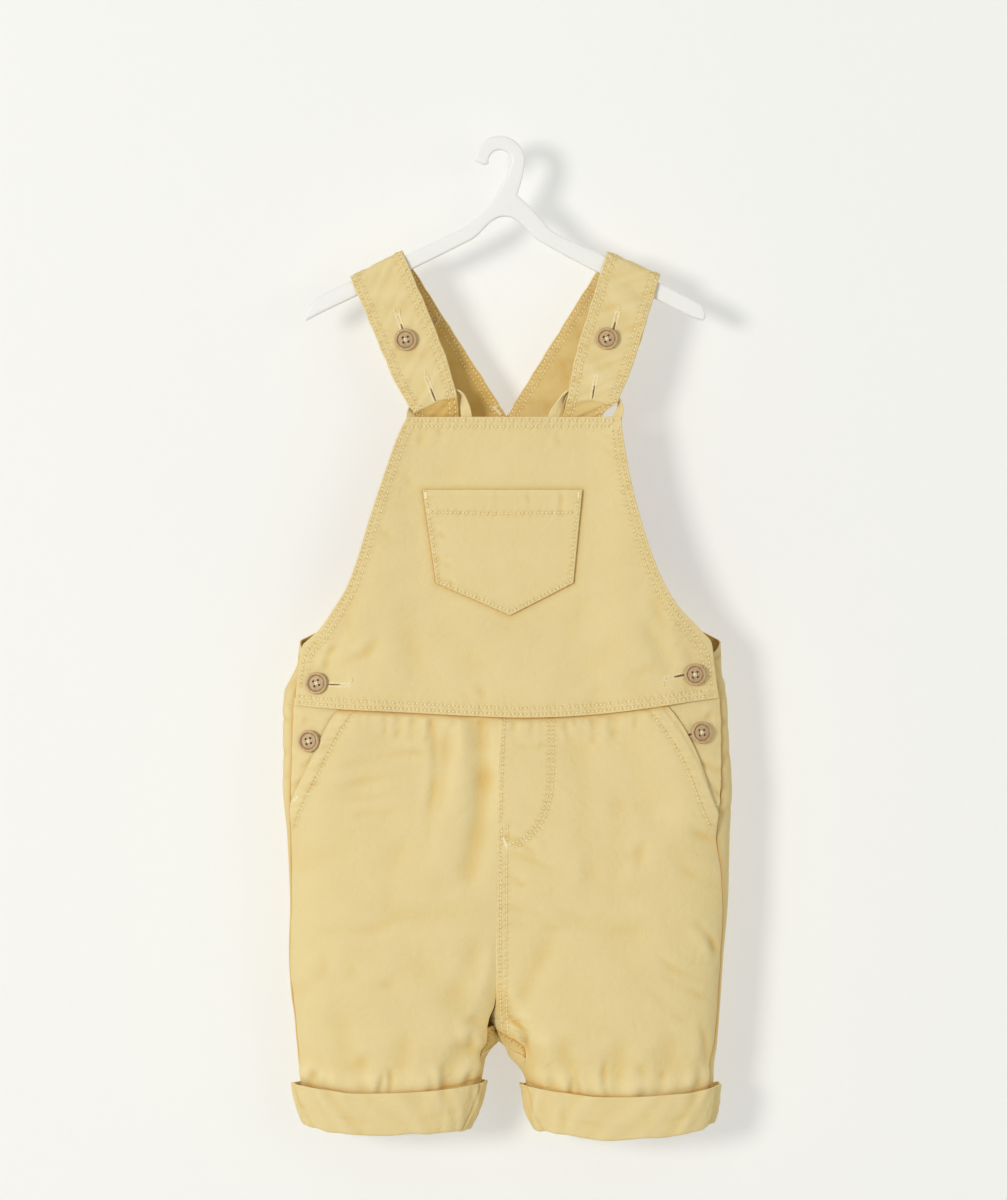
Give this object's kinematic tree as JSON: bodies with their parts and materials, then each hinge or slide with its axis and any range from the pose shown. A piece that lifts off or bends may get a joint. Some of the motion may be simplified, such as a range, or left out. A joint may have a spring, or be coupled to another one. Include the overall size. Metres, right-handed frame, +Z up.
{
  "type": "kids dungarees on a hanger",
  "caption": "Toddler's short dungarees with a bib pocket, buttoned straps and turned-up cuffs, hung on a flat plastic hanger.",
  "frame": {"origin": "crown of the hanger's hook, at the middle of its thickness, where a peg or rail carries it", "axes": "+Z up along the hung garment, the front faces -Y, +X towards the wearer's left"},
  "size_m": [0.283, 0.0504, 0.6306],
  "materials": {
    "twill": "soft washed cotton twill, warm yellow",
    "coconut_wood": "turned coconut wood, satin",
    "white_plastic": "white moulded plastic, satin"
  },
  "bodies": {
    "root": {"bib": "twill", "bib_pocket": "twill", "back_bodice": "twill", "front_leg_right": "twill", "front_leg_left": "twill", "back_leg_right": "twill", "back_leg_left": "twill", "pocket_facing_right": "twill", "pocket_facing_left": "twill", "cuff_right": "twill", "cuff_left": "twill", "strap_right": "twill", "strap_left": "twill", "strap_loop_right": "twill", "strap_loop_left": "twill", "button_strap_right": "coconut_wood", "button_strap_left": "coconut_wood", "button_bib_right": "coconut_wood", "button_bib_left": "coconut_wood", "button_hip_right": "coconut_wood", "button_hip_left": "coconut_wood", "hanger": "white_plastic"}
  },
  "joints": []
}
